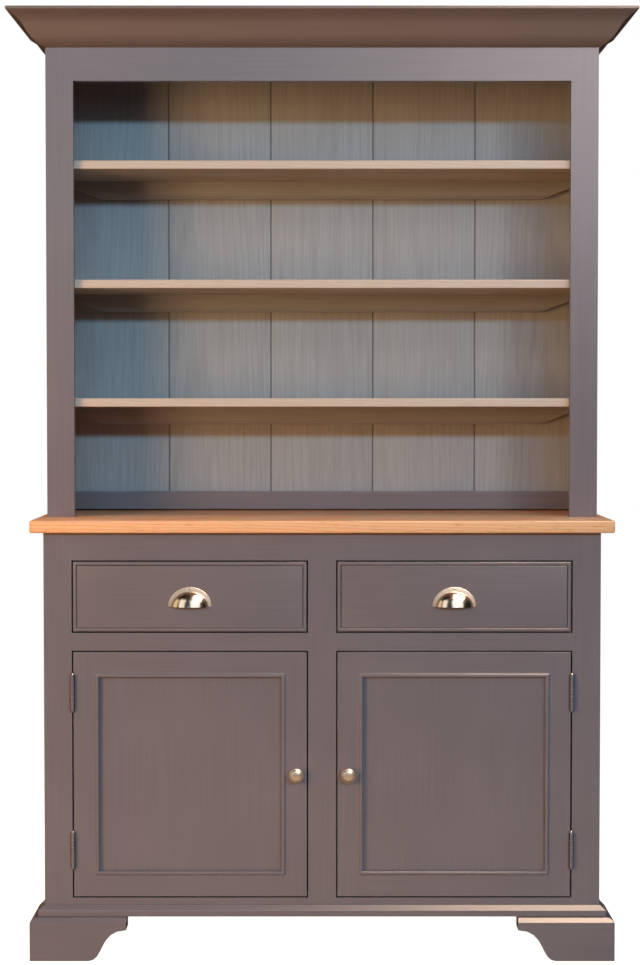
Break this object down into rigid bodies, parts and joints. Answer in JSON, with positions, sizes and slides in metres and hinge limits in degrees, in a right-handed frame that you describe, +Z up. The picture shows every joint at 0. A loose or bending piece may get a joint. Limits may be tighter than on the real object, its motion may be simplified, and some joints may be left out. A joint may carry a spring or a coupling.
{
  "type": "china cabinet",
  "caption": "Painted dresser: a cupboard base with drawers over panelled doors on bracket feet, an oak worktop, and an open plate rack with shelves and a cornice.",
  "frame": {"origin": "on the floor under the middle of the whole dresser", "axes": "+Z up, the front faces -Y, +X to the right seen from the front"},
  "size_m": [1.366, 0.48, 2.0565],
  "materials": {
    "taupe_paint": "brushed taupe eggshell paint over wood",
    "umber_paint": "brushed umber eggshell paint over wood",
    "stone_paint": "thin stone-coloured paint with the pine grain showing through",
    "oiled_oak": "oiled oak",
    "pale_oak": "pale waxed oak",
    "bare_pine": "bare pine",
    "satin_nickel": "satin nickel plate",
    "dull_steel": "dull nickel-plated steel"
  },
  "bodies": {
    "cabinet": {"base_back": "bare_pine", "base_bottom_rail": "taupe_paint", "base_centre_stile": "taupe_paint", "base_floor": "bare_pine", "base_left_side": "taupe_paint", "base_left_stile": "taupe_paint", "base_middle_rail": "taupe_paint", "base_right_side": "taupe_paint", "base_right_stile": "taupe_paint", "base_top_rail": "taupe_paint", "cornice_front": "umber_paint", "cornice_left": "umber_paint", "cornice_right": "umber_paint", "cupboard_shelf": "bare_pine", "drawer_runner_centre": "bare_pine", "drawer_runner_left": "bare_pine", "drawer_runner_right": "bare_pine", "foot_back_left": "taupe_paint", "foot_back_right": "taupe_paint", "foot_front_left": "taupe_paint", "foot_front_right": "taupe_paint", "hinge_left_lower_frame_leaf": "dull_steel", "hinge_left_upper_frame_leaf": "dull_steel", "hinge_right_lower_frame_leaf": "dull_steel", "hinge_right_upper_frame_leaf": "dull_steel", "plinth_moulding": "taupe_paint", "rack_back": "stone_paint", "rack_bottom_rail": "taupe_paint", "rack_left_side": "taupe_paint", "rack_left_stile": "taupe_paint", "rack_right_side": "taupe_paint", "rack_right_stile": "taupe_paint", "rack_shelf_high": "pale_oak", "rack_shelf_low": "pale_oak", "rack_shelf_middle": "pale_oak", "rack_top": "stone_paint", "rack_top_rail": "taupe_paint", "worktop": "oiled_oak"},
    "door_left": {"door_left_frame": "taupe_paint", "door_left_panel": "taupe_paint", "door_left_knob": "satin_nickel", "hinge_left_upper_door_leaf": "dull_steel", "hinge_left_lower_door_leaf": "dull_steel"},
    "door_right": {"door_right_frame": "taupe_paint", "door_right_panel": "taupe_paint", "door_right_knob": "satin_nickel", "hinge_right_upper_door_leaf": "dull_steel", "hinge_right_lower_door_leaf": "dull_steel"},
    "drawer_left": {"drawer_left_front": "taupe_paint", "drawer_left_left_side": "bare_pine", "drawer_left_right_side": "bare_pine", "drawer_left_back": "bare_pine", "drawer_left_bottom": "bare_pine", "drawer_left_pull": "satin_nickel"},
    "drawer_right": {"drawer_right_front": "taupe_paint", "drawer_right_left_side": "bare_pine", "drawer_right_right_side": "bare_pine", "drawer_right_back": "bare_pine", "drawer_right_bottom": "bare_pine", "drawer_right_pull": "satin_nickel"}
  },
  "joints": [
    {"name": "door_left_swing", "type": "hinge", "parent": "cabinet", "child": "door_left", "pos_m": [-0.53825, -0.2154, 0.131], "axis": [0, 0, -1], "range_deg": [0, 170]},
    {"name": "door_right_swing", "type": "hinge", "parent": "cabinet", "child": "door_right", "pos_m": [0.53825, -0.2154, 0.131], "axis": [0, 0, 1], "range_deg": [0, 170]},
    {"name": "drawer_left_slide", "type": "slide", "parent": "cabinet", "child": "drawer_left", "axis": [0, -1, 0], "range_m": [0, 0.3]},
    {"name": "drawer_right_slide", "type": "slide", "parent": "cabinet", "child": "drawer_right", "axis": [0, -1, 0], "range_m": [0, 0.3]}
  ]
}
